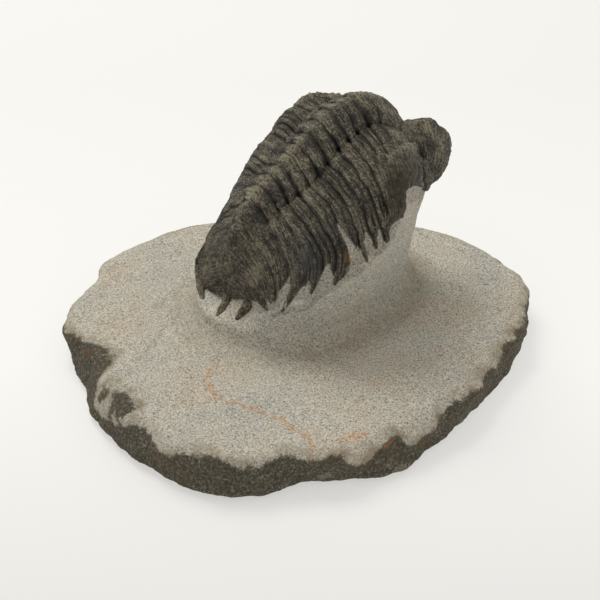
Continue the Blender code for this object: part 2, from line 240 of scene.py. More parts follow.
view = {
    "aim": (0.00056, 0.00015, 0.024),   # metres
    "elevation": 35.0,
    "distance": 0.4486,          # metres
    "lens": 85.0,
}
cameraData = bpy.data.cameras.new("camera")
cameraData.lens = view["lens"]
cameraData.clip_end = 20.0
camera = bpy.data.objects.new("camera", cameraData)
rise = math.radians(view["elevation"])
camera.location = (view["aim"][0], view["aim"][1] - view["distance"] * math.cos(rise),
                   view["aim"][2] + view["distance"] * math.sin(rise))
camera.rotation_euler = (math.pi / 2 - rise, 0, 0)
scene.collection.objects.link(camera)
scene.camera = camera
scene.view_settings.view_transform = "Standard"

studio = {
    "daylight": 0.64,            # even light from all round
    "daylightColour": "#FBFAF7",
    "keyPlace": (-0.32, 0.46, 0.95),    # the one lamp, behind on the left; metres
    "keySize": 0.6,
    "keyPower": 5.3,
    "keyColour": "#FFFBF4",
    "paper": "#A6A6A5",
    "paperGlow": "#FEFDF9",
    # the paper's own faint glow keeps its shadows light: place from front 0 to back 1, and strength
    "glow": ((0.35, 0.42), (0.5, 0.585), (0.7, 0.52)),
    "glowFront": 0.5,            # metres from the middle to place 0
    "floorHalf": 4,              # metres
}
world = bpy.data.worlds.new("studio")
world.use_nodes = True
background = world.node_tree.nodes["Background"]
background.inputs["Color"].default_value = hexColour(studio["daylightColour"])
background.inputs["Strength"].default_value = studio["daylight"]
scene.world = world
lamp = bpy.data.lights.new("key", "AREA")
lamp.shape = "DISK"
lamp.size = studio["keySize"]
lamp.energy = studio["keyPower"]
lamp.color = hexColour(studio["keyColour"])[:3]
light = bpy.data.objects.new("key", lamp)
light.location = studio["keyPlace"]
light.rotation_euler = (-light.location.normalized()).to_track_quat("-Z", "Y").to_euler()
scene.collection.objects.link(light)

# matt paper, a plain pale ground with soft shadows
paper, paperTree, paperShader = newMaterial("pale_paper", 0.9, 0.5)
paperShader.inputs["Base Color"].default_value = hexColour(studio["paper"])
paperShader.inputs["Emission Color"].default_value = hexColour(studio["paperGlow"])
onFloor = addNode(paperTree, "ShaderNodeSeparateXYZ", {
    0: addNode(paperTree, "ShaderNodeTexCoord").outputs["Object"]})
back = addNode(paperTree, "ShaderNodeMath", {0: onFloor.outputs["Y"], 1: studio["glowFront"]},
               operation="ADD")
glow = addNode(paperTree, "ShaderNodeValToRGB", {"Fac": back}, [
    (place, (strength, strength, strength, 1)) for place, strength in studio["glow"]])
paperTree.links.new(glow.outputs["Color"], paperShader.inputs["Emission Strength"])
floorHalf = studio["floorHalf"]
floorMesh = bpy.data.meshes.new("floor")
floorMesh.from_pydata([(-floorHalf, -floorHalf, 0), (floorHalf, -floorHalf, 0), (floorHalf, floorHalf, 0),
                       (-floorHalf, floorHalf, 0)], [], [(0, 1, 2, 3)])
floorMesh.materials.append(paper)
floor = bpy.data.objects.new("floor", floorMesh)
scene.collection.objects.link(floor)
print("camera, lights and floor ready")


# fine-grained limestone, cut pale by the preparer's air scribe, with its old weathered crust left in places
limestone = {
    "pale": "#C7C2B5",
    "warm": "#C6BCAC",
    "cool": "#BDBAB0",
    "speckDark": "#59544A",
    "speckPale": "#E6E1D4",
    "crust": "#4E4A3F",
    "crustDark": "#34312A",
    "crustPale": "#918A79",
    "crustBrown": "#5E4C37",
    "halfWorked": "#8D806A",
    "rust": "#B8761F",
    # brown-grey of the marks on the top, also used for painted shade round the pedestal's foot
    "stainAndShade": "#83775F",
    # size across of each pattern; real grains and specks are finer, and are drawn this coarse to show
    "grain": 0.6,
    "speck": 0.5,
    "speckle": 0.8,
    "fleck": 2.6,
    "blotch": 5.0,
    "chalk": 9.0,
    "cloud": 22.0,
    "bumpDepth": 0.35,
    "roughness": 0.92,
    "specular": 0.25,
}


def addLimestone(tree, place):
    # colour and grain of the worked stone
    known = {}
    for name, detail, rough in (("grain", 5.0, 0.72), ("cloud", 4.0, 0.6), ("speck", 2.0, 0.5)):
        known[name] = addNode(tree, "ShaderNodeTexNoise", {
            "Vector": place, "Scale": grainScale(limestone[name]), "Detail": detail, "Roughness": rough})
    tone = addNode(tree, "ShaderNodeValToRGB", {"Fac": known["cloud"]}, toneStops(limestone, (
        (0.36, "cool"), (0.5, "pale"), (0.64, "warm"))))
    # grain tone, darker between the grains and brighter on top of them: painted shade and painted highlight of
    # the grain's relief
    shade = addNode(tree, "ShaderNodeValToRGB", {"Fac": known["grain"]}, (
        (0.34, (0.26, 0.25, 0.24, 1)), (0.44, (0.72, 0.715, 0.70, 1)), (0.54, (1.0, 1.0, 1.0, 1)),
        (0.66, (1.34, 1.33, 1.3, 1))))
    mixed = addNode(tree, "ShaderNodeMix", {"Factor": 1.0, 6: tone, 7: shade},
                    data_type="RGBA", blend_type="MULTIPLY")
    addSteps(tree, known, (
        ("dark", "SMOOTHSTEP", "speck", 0.40, 0.30),
        ("light", "SMOOTHSTEP", "speck", 0.66, 0.76)))
    specked = layColours(tree, known, limestone, mixed.outputs[2], (
        ("dark", "speckDark"), ("light", "speckPale")))
    return specked, known["grain"]


# dusty and pale where it was cut, dull brown-black with pale flecks where the old skin is left
def makeRockMaterial():
    material, tree, shader = newMaterial(
        "air_scribed_limestone", limestone["roughness"], limestone["specular"])
    place = addNode(tree, "ShaderNodeTexCoord").outputs["Object"]
    known = {key: addNode(tree, "ShaderNodeAttribute", attribute_name=key).outputs["Fac"]
             for key in ("crust", "rust", "marksAndShade")}
    worked, known["grain"] = addLimestone(tree, place)
    for name, detail, rough in (("blotch", 6.0, 0.68), ("speckle", 5.0, 0.75), ("chalk", 5.0, 0.62)):
        known[name] = addNode(tree, "ShaderNodeTexNoise", {
            "Vector": place, "Scale": grainScale(limestone[name]), "Detail": detail, "Roughness": rough})
    known["fleck"] = addNode(tree, "ShaderNodeTexVoronoi", {
        "Vector": place, "Scale": grainScale(limestone["fleck"])})
    addSteps(tree, known, (
        ("stainShadeTone", "MULTIPLY_ADD", "blotch", 0.8, 0.12),
        ("wander", "MULTIPLY_ADD", "blotch", 8.0, -4.0),
        ("fray", "MULTIPLY_ADD", "speckle", 5.0, -2.5),
        ("edge", "ADD", "crust", "wander"),
        ("edgeFrayed", "ADD", "edge", "fray"),
        ("crustMask", "SMOOTHSTEP", "edgeFrayed", -0.5, 0.6),
        ("halfWide", "SMOOTHSTEP", "edgeFrayed", -5.5, 0.2),
        ("halfPatch", "MULTIPLY_ADD", "blotch", 3.2, -1.0),
        ("halfMask", "MULTIPLY", "halfWide", "halfPatch"),
        ("brownWide", "SMOOTHSTEP", "blotch", 0.48, 0.66),
        ("brownMask", "MULTIPLY", "brownWide", 0.5),
        ("fleckTop", "SMOOTHSTEP", "fleck", 0.16, 0.08),
        ("fleckMask", "MULTIPLY", "fleckTop", 0.6),
        ("chalkWide", "MULTIPLY_ADD", "speckle", 0.5, "chalk"),
        ("chalkTop", "SMOOTHSTEP", "chalkWide", 0.84, 0.95),
        ("chalkMask", "MULTIPLY", "chalkTop", 0.45),
        # painted shade round the pedestal's foot, and the marks on the top
        ("stainShadeMask", "MULTIPLY", "marksAndShade", "stainShadeTone"),
        ("vein", "MULTIPLY_ADD", "speckle", -5.5, 3.1),
        ("rustMask", "MULTIPLY", "rust", "vein"),
        ("height", "MULTIPLY_ADD", "grain", "speckle", 0.6)))
    crustTone = addNode(tree, "ShaderNodeValToRGB", {"Fac": known["speckle"]}, toneStops(limestone, (
        (0.32, "crustDark"), (0.50, "crust"), (0.74, "crustPale"))))
    old = layColours(tree, known, limestone, crustTone.outputs["Color"], (
        ("brownMask", "crustBrown"), ("fleckMask", "crustPale"), ("chalkMask", "crustPale")))
    # the painted shade at the foot and the marks go on first, then the half-worked patches
    ground = layColours(tree, known, limestone, worked, (
        ("stainShadeMask", "stainAndShade"), ("halfMask", "halfWorked")))
    crusted = addNode(tree, "ShaderNodeMix", {"Factor": known["crustMask"], 6: ground, 7: old},
                      data_type="RGBA")
    colour = layColours(tree, known, limestone, crusted.outputs[2], (("rustMask", "rust"),))
    tree.links.new(colour, shader.inputs["Base Color"])
    fine = addNode(tree, "ShaderNodeBump", {"Height": known["height"], "Strength": 0.55,
                                            "Distance": limestone["bumpDepth"] * mm})
    tree.links.new(fine.outputs["Normal"], shader.inputs["Normal"])
    return material


# fossil shell turned to dark calcite: dull, paler on worn ridges with a painted highlight there, with dirt and
# painted shade in the furrows
shellLook = {
    "base": "#544D41",
    "deep": "#38342B",
    # pale of the worn ridges, also a painted highlight on them
    "ridge": "#989079",
    # near black of the deep furrows: dirt and painted shade
    "furrow": "#1B1814",
    # dark green-grey of the shallow hollows: the shell's own tint with painted shade
    "greenShade": "#32322B",
    "blue": "#303236",
    "brown": "#43382B",
    # painted glints: small pale flecks standing in for highlights on the shell
    "glint": "#B9AE98",
    "rust": "#9C6630",
    # size across of each pattern; the grain is drawn coarser than it is, to show
    "grain": 0.7,
    "patch": 7.0,
    "glintSize": 1.2,
    "streaks": (15.0, 7.0, 1.0),        # to a segment, and over a half section
    "bumpDepth": 0.6,
    "roughness": 0.5,
    "specular": 0.4,
}


def makeShellMaterial():
    material, tree, shader = newMaterial("dark_calcite_shell", shellLook["roughness"], shellLook["specular"])
    place = addNode(tree, "ShaderNodeTexCoord").outputs["Object"]
    worked = addLimestone(tree, place)[0]
    known = {key: addNode(tree, "ShaderNodeAttribute", attribute_name=key).outputs["Fac"]
             for key in ("hollow", "shellDepth", "station", "across", "rust", "brown", "blue")}
    along = addNode(tree, "ShaderNodeCombineXYZ", {"X": known["station"], "Y": known["across"]})
    streaked = addNode(tree, "ShaderNodeVectorMath", {0: along, 1: shellLook["streaks"]},
                       operation="MULTIPLY")
    for name, where, scale, detail, rough in (("stria", streaked, 1.0, 5.0, 0.7),
                                              ("grain", place, grainScale(shellLook["grain"]), 4.0, 0.75),
                                              ("patch", place, grainScale(shellLook["patch"]), 4.0, 0.6)):
        known[name] = addNode(tree, "ShaderNodeTexNoise", {
            "Vector": where, "Scale": scale, "Detail": detail, "Roughness": rough})
    known["glint"] = addNode(tree, "ShaderNodeTexVoronoi", {
        "Vector": place, "Scale": grainScale(shellLook["glintSize"])})
    addSteps(tree, known, (
        ("toneA", "MULTIPLY_ADD", "stria", 0.7, -0.445),
        ("toneB", "MULTIPLY_ADD", "grain", 0.8, "toneA"),
        ("toneC", "MULTIPLY_ADD", "patch", 0.43, "toneB"),
        # darker in the hollows and paler on raised parts: partly wear, partly painted shade and painted
        # highlight
        ("lift", "MULTIPLY_ADD", "hollow", -0.12, "toneC"),
        ("brownFray", "MULTIPLY_ADD", "grain", 3.2, -1.1),
        ("brownMask", "MULTIPLY", "brown", "brownFray"),
        # the shell's green-grey tint with painted shade in the shallow hollows
        ("greenShade", "SMOOTHSTEP", "hollow", 0.0, 0.9),
        ("greenShadeMask", "MULTIPLY", "greenShade", 0.55),
        # dirt and painted shade in the deep furrows
        ("dirtAndShade", "SMOOTHSTEP", "hollow", 0.9, 1.7),
        ("dirtAndShadeMask", "MULTIPLY", "dirtAndShade", 0.8),
        ("patchMask", "SMOOTHSTEP", "patch", 0.42, 0.6),
        ("blueMask", "MULTIPLY", "patchMask", "blue"),
        ("rustFray", "MULTIPLY_ADD", "grain", -2.0, 1.6),
        ("rustMask", "MULTIPLY", "rust", "rustFray"),
        # painted glints scattered over the shell
        ("glintTop", "SMOOTHSTEP", "glint", 0.12, 0.05),
        ("glintMask", "MULTIPLY", "glintTop", 0.6),
        ("fray", "MULTIPLY_ADD", "grain", 1.8, -0.9),
        ("depth", "ADD", "shellDepth", "fray"),
        ("shellMask", "SMOOTHSTEP", "depth", -0.25, 0.25),
        ("height", "MULTIPLY_ADD", "stria", 0.8, "grain"),
        ("dull", "MULTIPLY_ADD", "grain", 0.5, 0.28),
        ("matt", "MULTIPLY_ADD", "shellMask", -0.38, 0.9),
        ("gloss", "MULTIPLY_ADD", "dull", 0.25, "matt")))
    tone = addNode(tree, "ShaderNodeValToRGB", {"Fac": known["lift"]}, toneStops(shellLook, (
        (0.35, "furrow"), (0.44, "deep"), (0.52, "base"), (0.67, "ridge"))))
    colour = layColours(tree, known, shellLook, tone.outputs["Color"], (
        ("brownMask", "brown"), ("blueMask", "blue"), ("greenShadeMask", "greenShade"), ("dirtAndShadeMask", "furrow"),
        ("glintMask", "glint"), ("rustMask", "rust")))
    full = addNode(tree, "ShaderNodeMix", {"Factor": known["shellMask"], 6: worked, 7: colour},
                   data_type="RGBA")
    tree.links.new(full.outputs[2], shader.inputs["Base Color"])
    tree.links.new(known["gloss"].outputs[0], shader.inputs["Roughness"])
    fine = addNode(tree, "ShaderNodeBump", {"Height": known["height"], "Strength": 1.0,
                                            "Distance": shellLook["bumpDepth"] * mm})
    tree.links.new(fine.outputs["Normal"], shader.inputs["Normal"])
    return material


trilobite = {
    "heading": 28.0,             # the head points this far round from +X
    "origin": (-0.6, 13.0),
    "roll": 0.035,               # slope of the whole back, down to the right
    "tailSkew": 0.2,             # slant of the tail's rows
    "twistStart": -8.0,          # it starts here along the body, and grows over this length
    "twistLength": 14.0,
    "furrowAt": 0.30,            # places on a half section: crest 0, edge 1
    "shoulderAt": 0.50,
    "flankAt": 0.76,
    "lobeRound": 0.6,            # 1 makes the middle lobe round, 0 makes it a ridge
    "domeEnd": (-1.6, 0.8),      # stations over which the tail's plain dome gives way to three lobes
    "skirt": 5.0,                # how far the edge runs on down the pedestal
    "skirtSink": 4.0,            # and how far it draws in
    "skirtAim": 8.0,             # towards this place along the body
    "skirtPart": 0.2,            # the skirt runs on this far past place 1
    "bellyLift": 1.5,            # hollow of the hidden underside
    "ends": (-3.48, 17.97),      # first and last station of the mesh
    "thorax": (0, 11),
    "rows": (76, 264, 84),       # mesh rows in tail shield, thorax and head
    "halfAcross": 86,            # mesh columns from crest to edge
    "skirtSteps": 12,
    "bellySteps": 7,
    # station u, then crest (p, z), furrow, shoulder, flank and edge (p, q, z)
    # p runs to the head, q to the right; u 0 to 11 counts the thorax's segments
    "stations": (
        (-3.5, (-24.5, 25.5), (-24.5, 0.0, 25.5), (-24.5, 0.0, 25.5), (-24.5, 0.0, 25.5), (-24.5, 0.0, 25.5)),
        (-3.0, (-25.2, 31.5), (-25.0, 4.0, 30.5), (-24.8, 8.5, 29.0), (-24.5, 12.0, 27.8), (-24.3, 13.0, 26.3)),
        (-2.0, (-23.0, 42.0), (-22.5, 5.5, 39.5), (-22.5, 12.0, 37.0), (-23.0, 17.0, 33.0), (-23.5, 18.5, 28.5)),
        (0.0, (-15.5, 57.5), (-14.4, 7.5, 53.4), (-15.0, 15.0, 49.5), (-16.5, 21.0, 42.0), (-20.5, 23.0, 32.5)),
        (1.0, (-11.5, 61.5), (-11.0, 8.5, 57.3), (-10.8, 18.0, 54.3), (-9.8, 26.0, 46.8), (-14.0, 27.3, 35.2)),
        (2.5, (-6.5, 65.5), (-6.0, 9.5, 60.3), (-5.3, 20.5, 58.4), (-4.3, 29.3, 49.8), (-7.9, 30.3, 40.0)),
        (5.0, (2.0, 72.0), (2.8, 10.0, 66.6), (4.0, 21.5, 65.0), (4.6, 31.5, 55.7), (1.5, 32.3, 44.6)),
        (7.0, (8.5, 78.5), (9.0, 10.0, 73.2), (9.5, 22.0, 71.8), (10.0, 32.0, 62.8), (8.0, 33.0, 48.8)),
        (9.0, (16.0, 82.0), (15.8, 9.8, 77.2), (16.0, 21.5, 75.8), (15.5, 31.5, 67.0), (15.0, 32.5, 55.2)),
        (11.0, (24.5, 83.3), (24.0, 9.3, 78.4), (22.5, 20.0, 76.5), (20.5, 28.5, 70.5), (20.5, 29.5, 61.5)),
        (12.5, (33.0, 77.5), (32.0, 9.0, 72.5), (29.5, 17.5, 71.5), (28.0, 22.5, 66.0), (27.5, 22.5, 60.0)),
        (13.5, (39.0, 68.5), (37.5, 8.5, 65.5), (35.0, 14.0, 65.0), (33.5, 17.5, 60.5), (33.5, 17.0, 55.5)),
        (15.0, (48.5, 68.6), (42.0, 10.0, 58.5), (39.5, 12.0, 58.5), (38.5, 12.5, 55.0), (38.5, 12.0, 51.0)),
        (16.5, (55.4, 59.6), (45.5, 9.0, 53.6), (43.5, 9.0, 53.0), (42.5, 8.5, 51.0), (42.5, 8.0, 49.0)),
        (17.5, (52.2, 51.6), (46.5, 5.5, 50.8), (45.5, 5.0, 49.8), (45.0, 4.5, 48.6), (45.0, 4.0, 47.6)),
        (18.0, (46.5, 46.5), (46.5, 0.0, 46.5), (46.5, 0.0, 46.5), (46.5, 0.0, 46.5), (46.5, 0.0, 46.5)),
    ),
    # the cheek lies above this place on the half section, by station
    "cheekTop": ((-3.5, 1.4), (7.6, 1.4), (8.0, 1.1), (8.3, 0.7), (8.7, 0.56), (10.0, 0.56), (12.1, 0.48),
                 (13.1, 0.30), (13.4, 0.1), (18.0, 0.1)),
    # width of the left side as a share of the right, by station
    "leftWidth": ((-3.5, 0.98), (0.0, 0.92), (2.5, 0.96), (5.0, 1.0), (7.0, 0.98), (9.0, 0.95), (18.0, 1.0)),
    # how much lower the left side lies, by station
    "leftDrop": ((-3.5, 2.0), (-3.0, 5.5), (-2.0, 7.0), (0.0, 4.5), (2.5, 1.5), (5.0, 1.2), (7.0, 2.2),
                 (9.0, 3.6), (11.0, 4.0), (13.0, 1.5), (15.0, 0.0), (18.0, 0.0)),
    "leftDropFull": 0.85,        # it lies all that lower from this place on
    # where the shell ends above the matrix, as station and place on the half section
    "shellEnd": ((-3.5, 0.9), (-3.1, 0.52), (-2.8, 0.58), (-2.4, 0.72), (-2.0, 0.84), (-1.1, 0.86),
                 (-0.5, 0.83), (0.1, 0.82), (0.5, 0.88), (1.0, 0.87), (1.5, 0.90), (2.0, 0.86), (2.5, 0.82),
                 (3.1, 0.90), (3.8, 0.95), (4.2, 0.90), (4.6, 0.80), (5.0, 0.78), (5.4, 0.80), (5.8, 0.78),
                 (6.4, 0.83), (7.0, 0.88), (7.4, 0.86), (8.2, 0.92), (8.8, 0.90), (9.6, 0.94), (10.4, 0.97),
                 (10.7, 0.88), (11.7, 0.86), (14.7, 0.89), (16.0, 0.93), (18.0, 0.98)),
    # the same on the left: place at the tail, how much higher on the thorax, how far down each rib reaches
    "leftEnd": (0.99, 0.09, 0.07),
    "girth": 34.0,               # length over a half section
    # finger-like rib ends, and the notches of matrix between them: start, end, half width at each
    "fingers": (
        ((-22.9, 14.7, 34.8), (-23.3, 18.2, 30.4), 1.4, 0.5),
        ((-21.0, 20.0, 37.0), (-21.8, 19.9, 33.8), 1.0, 0.5),
        ((-15.0, 24.4, 41.2), (-17.8, 23.6, 36.2), 1.9, 1.2),
        ((-17.8, 23.6, 36.2), (-21.0, 22.6, 31.4), 1.2, 0.4),
        ((-8.7, 28.5, 43.8), (-10.9, 28.2, 39.6), 1.4, 0.6),
        ((-1.2, 31.7, 47.4), (-3.6, 31.4, 42.8), 2.1, 0.7),
        ((4.0, 30.2, 57.2), (4.9, 32.4, 54.1), 1.1, 1.0),
        ((4.9, 32.4, 54.1), (6.6, 32.9, 48.6), 1.0, 0.5),
        ((7.5, 31.6, 60.0), (9.5, 32.9, 52.8), 1.5, 0.7),
        ((11.0, 32.8, 59.6), (12.6, 32.9, 54.8), 1.6, 0.9),
    ),
    "notches": (
        ((-16.2, 21.6, 42.0), (-19.8, 21.9, 35.2), 0.3, 1.1),
        ((-23.2, 17.2, 33.8), (-22.9, 19.6, 31.0), 0.2, 0.7),
        ((-11.2, 27.0, 42.6), (-14.4, 26.4, 36.8), 0.3, 1.3),
        ((-4.9, 29.8, 48.6), (-6.6, 30.4, 43.0), 0.6, 1.9),
        ((0.3, 25.8, 59.0), (1.9, 31.0, 54.2), 0.3, 1.0),
        ((1.9, 31.0, 54.2), (3.4, 32.3, 49.0), 1.0, 2.0),
        ((6.5, 32.0, 57.8), (8.0, 32.9, 51.6), 0.4, 1.1),
        ((10.3, 33.0, 58.4), (11.0, 33.0, 53.0), 0.3, 1.0),
    ),
    "rust": (((1.3, 31.4, 53.0), (0.1, 31.6, 50.2), 0.7), ((6.0, 32.7, 55.6), (6.4, 32.8, 53.4), 0.6)),
}


def placeBody(local, follow=1.0):
    # from the animal's own frame to the slab's
    p, q, z = local[..., 0], local[..., 1], local[..., 2]
    twist = np.clip((trilobite["twistStart"] - p) / trilobite["twistLength"], 0, 1)
    p = p + follow * trilobite["tailSkew"] * q * twist
    z = z - follow * trilobite["roll"] * q
    turn = math.radians(trilobite["heading"])
    x = trilobite["origin"][0] + p * math.cos(turn) + q * math.sin(turn)
    y = trilobite["origin"][1] + p * math.sin(turn) - q * math.cos(turn)
    return np.stack([x, y, z], axis=-1)


def bodySurface(u, v):
    # point of the back at station u and place v, -1 left edge, 0 crest, 1 right edge, and on down the skirt
    size = np.clip(np.abs(v), 0, 1)
    knots = [row[0] for row in trilobite["stations"]]
    crest, furrow, shoulder, flank, edge = (
        curveThrough(u, knots, [row[k] for row in trilobite["stations"]]) for k in range(1, 6))
    furrowAt, lobeRound = trilobite["furrowAt"], trilobite["lobeRound"]
    turn = np.clip(size / furrowAt, 0, 1) * math.pi / 2
    rise = lobeRound * np.cos(turn) ** 0.9 + (1 - lobeRound) * (1 - np.sin(turn))
    lobe = np.stack([furrow[..., 0] + (crest[..., 0] - furrow[..., 0]) * rise,
                     furrow[..., 1] * np.sin(turn),
                     furrow[..., 2] + (crest[..., 1] - furrow[..., 2]) * rise], -1)
    places = (furrowAt, trilobite["shoulderAt"], trilobite["flankAt"], 1.0)
    side = curveThrough(np.maximum(size, furrowAt), places, (furrow, shoulder, flank, edge))
    point = np.where((size <= furrowAt)[..., None], lobe, side)
    # the tail shield is one smooth dome
    top = np.stack([crest[..., 0], 0 * u, crest[..., 1]], -1)
    dome = curveThrough(size, (-furrowAt, 0.0) + places,
                        (furrow * (1, -1, 1), top, furrow, shoulder, flank, edge))
    point += (dome - point) * (1 - ramp(u, *trilobite["domeEnd"]))[..., None]
    down = np.clip(np.abs(v) - 1, 0, None) / trilobite["skirtPart"]
    inward = np.stack([trilobite["skirtAim"] - edge[..., 0], -edge[..., 1]], -1)
    inward /= np.maximum(np.linalg.norm(inward, axis=-1, keepdims=True), 1e-6)
    point[..., 2] -= down * trilobite["skirt"]
    point[..., :2] += inward * (trilobite["skirtSink"] * down**2)[..., None]
    width = np.where(v < 0, readCurve(u, trilobite["leftWidth"]), 1.0)
    point[..., 1] *= np.where(v < 0, -1, 1) * width
    drop = readCurve(u, trilobite["leftDrop"]) * ramp(size, 0.0, trilobite["leftDropFull"])
    point[..., 2] -= np.where(v < 0, drop, 0.0)
    return point


def shellExtent(u, v, local):
    # how far inside the shell's edge a point is; fingers reach out over the matrix, notches reach in
    tailEnd, higher, ribReach = trilobite["leftEnd"]
    leftEnd = tailEnd - ramp(u, -1.0, 1.0) * (higher - ribReach * np.abs(np.sin(math.pi * u)))
    end = np.where(v < 0, leftEnd, readCurve(u, trilobite["shellEnd"]))
    inside = (end - np.abs(v)) * trilobite["girth"]
    for start, finish, wide, narrow in trilobite["fingers"]:
        away, t = segmentDistance(local, start, finish)
        inside = np.maximum(inside, wide + (narrow - wide) * t - away)
    for start, finish, wide, narrow in trilobite["notches"]:
        away, t = segmentDistance(local, start, finish)
        inside = np.minimum(inside, away - wide - (narrow - wide) * t)
    return inside


def trilobiteRings():
    tail, thorax, head = trilobite["rows"]
    begin, finish = trilobite["ends"]
    thoraxStart, thoraxEnd = trilobite["thorax"]
    u = np.concatenate([np.linspace(begin, thoraxStart, tail, endpoint=False),
                        np.linspace(thoraxStart, thoraxEnd, thorax, endpoint=False),
                        np.linspace(thoraxEnd, finish, head)])
    onBack = np.linspace(0, 1, trilobite["halfAcross"] + 1)
    onSkirt = np.linspace(1, 1 + trilobite["skirtPart"], trilobite["skirtSteps"] + 1)[1:]
    v = np.concatenate([-onSkirt[::-1], -onBack[:0:-1], onBack, onSkirt])
    gridU, gridV = np.meshgrid(u, v, indexing="ij")
    local = bodySurface(gridU, gridV)
    # the underside, hidden in the matrix, runs from one skirt to the other
    share = np.linspace(0, 1, trilobite["bellySteps"] + 1)[1:-1]
    right, left = local[:, -1:], local[:, :1]
    belly = right + (left - right) * share[None, :, None]
    belly[..., 2] += trilobite["bellyLift"]
    return gridU, gridV, local, belly


def makeTrilobite():
    u, v, local, belly = trilobiteRings()
    size = np.abs(v)
    # each zone says how much of one kind of relief or colour a point has
    # numbers beside u are stations along the body, numbers beside size are places on the half section
    onThorax = between(u, -1.6, -0.4, 11.2, 12.0)
    cheekTop = readCurve(u, trilobite["cheekTop"])
    onCheek = ramp(size, cheekTop - 0.02, cheekTop + 0.02)
    tailBrown = 0.4 * (1 - ramp(u, -1.6, 0.4)) * (1 - ramp(size, 0.5, 0.9))
    cheekBrown = ramp(size, cheekTop + 0.03, cheekTop + 0.12) * (1 - ramp(u, 12.5, 13.2))
    zones = {
        "station": u,
        "across": v,
        "shellDepth": shellExtent(u, v, local),
        "ringZone": onThorax * (1 - ramp(size, 0.27, 0.33)) * (0.35 + 0.65 * ramp(size, 0.02, 0.2)),
        "ribZone": onThorax * ramp(size, 0.28, 0.38) * (1 - onCheek),
        "pitZone": between(u, -0.6, 0.4, 10.6, 11.4) * bump(size, 0.29, 0.05),
        "cheekZone": onCheek * (1 - ramp(u, 14.0, 16.0)),
        "eyeZone": bump(u, 12.0, 1.5) * bump(size, 0.70, 0.14),
        "ridgeZone": bump(size, cheekTop, 0.045) * between(u, 8.2, 8.8, 13.0, 13.4),
        "neckZone": bump(u, 13.75 + 0.5 * ramp(size, 0.7, 0.95), 0.5) * ramp(size, 0.12, 0.34),
        "keelZone": between(u, -1.0, 0.5, 11.5, 12.6) * bump(v, -0.03, 0.09),
        "bend": 1.2 * between(u, 4.5, 6.0, 9.0, 10.5) * ramp(size, 0.72, 1.0),
        "headZone": np.maximum(0.6 * ramp(u, 12.8, 13.6), onCheek * ramp(size, 0.3, 0.4)),
        "brown": np.maximum(tailBrown, cheekBrown),
        "blue": np.maximum(bump(u, 2.2, 3.6) * bump(size, 0.72, 0.3),
                           bump(u, 14.2, 1.0) * ramp(size, 0.3, 0.6)),
        "rust": np.zeros_like(u),
    }
    for start, finish, width in trilobite["rust"]:
        away = segmentDistance(local, start, finish)[0]
        zones["rust"] = np.maximum(zones["rust"], 1 - ramp(away, 0.2, width * 1.6))
    # the belly is matrix, well outside the shell
    under = {"station": u[:, :1], "across": 1 + trilobite["skirtPart"], "shellDepth": -9.0}
    full = {key: np.hstack([grid, np.broadcast_to(under.get(key, 0.0), belly.shape[:2])])
            for key, grid in zones.items()}
    rings = placeBody(np.concatenate([local, belly], axis=1))
    first, last = rings[0].mean(axis=0), rings[-1].mean(axis=0)
    return meshFromRings("trilobite_base", rings, first, last, full)


relief = {
    "Ring Height": 1.7,
    "Ring Furrow": 0.34,         # share of a segment
    "Ring Tilt": 1.1,
    "Rib Height": 0.95,
    "Rib Furrow": 0.15,
    "Pit Depth": 1.5,
    "Cheek Height": 0.8,
    "Eye Height": 1.2,
    "Ridge Height": 1.1,         # rim between the ribs and the cheek
    "Neck Depth": 1.6,           # hollow between the cheek and the bulb of the head
    "Keel Height": 0.3,
    "Shell Step": 0.8,           # the shell stands this far over the matrix at its edge
    "Stria Height": 0.6,
    "Grain Height": 0.55,
    "Lump Height": 1.2,
    "Tubercle Height": 0.6,
    "Seed": 3.0,
}


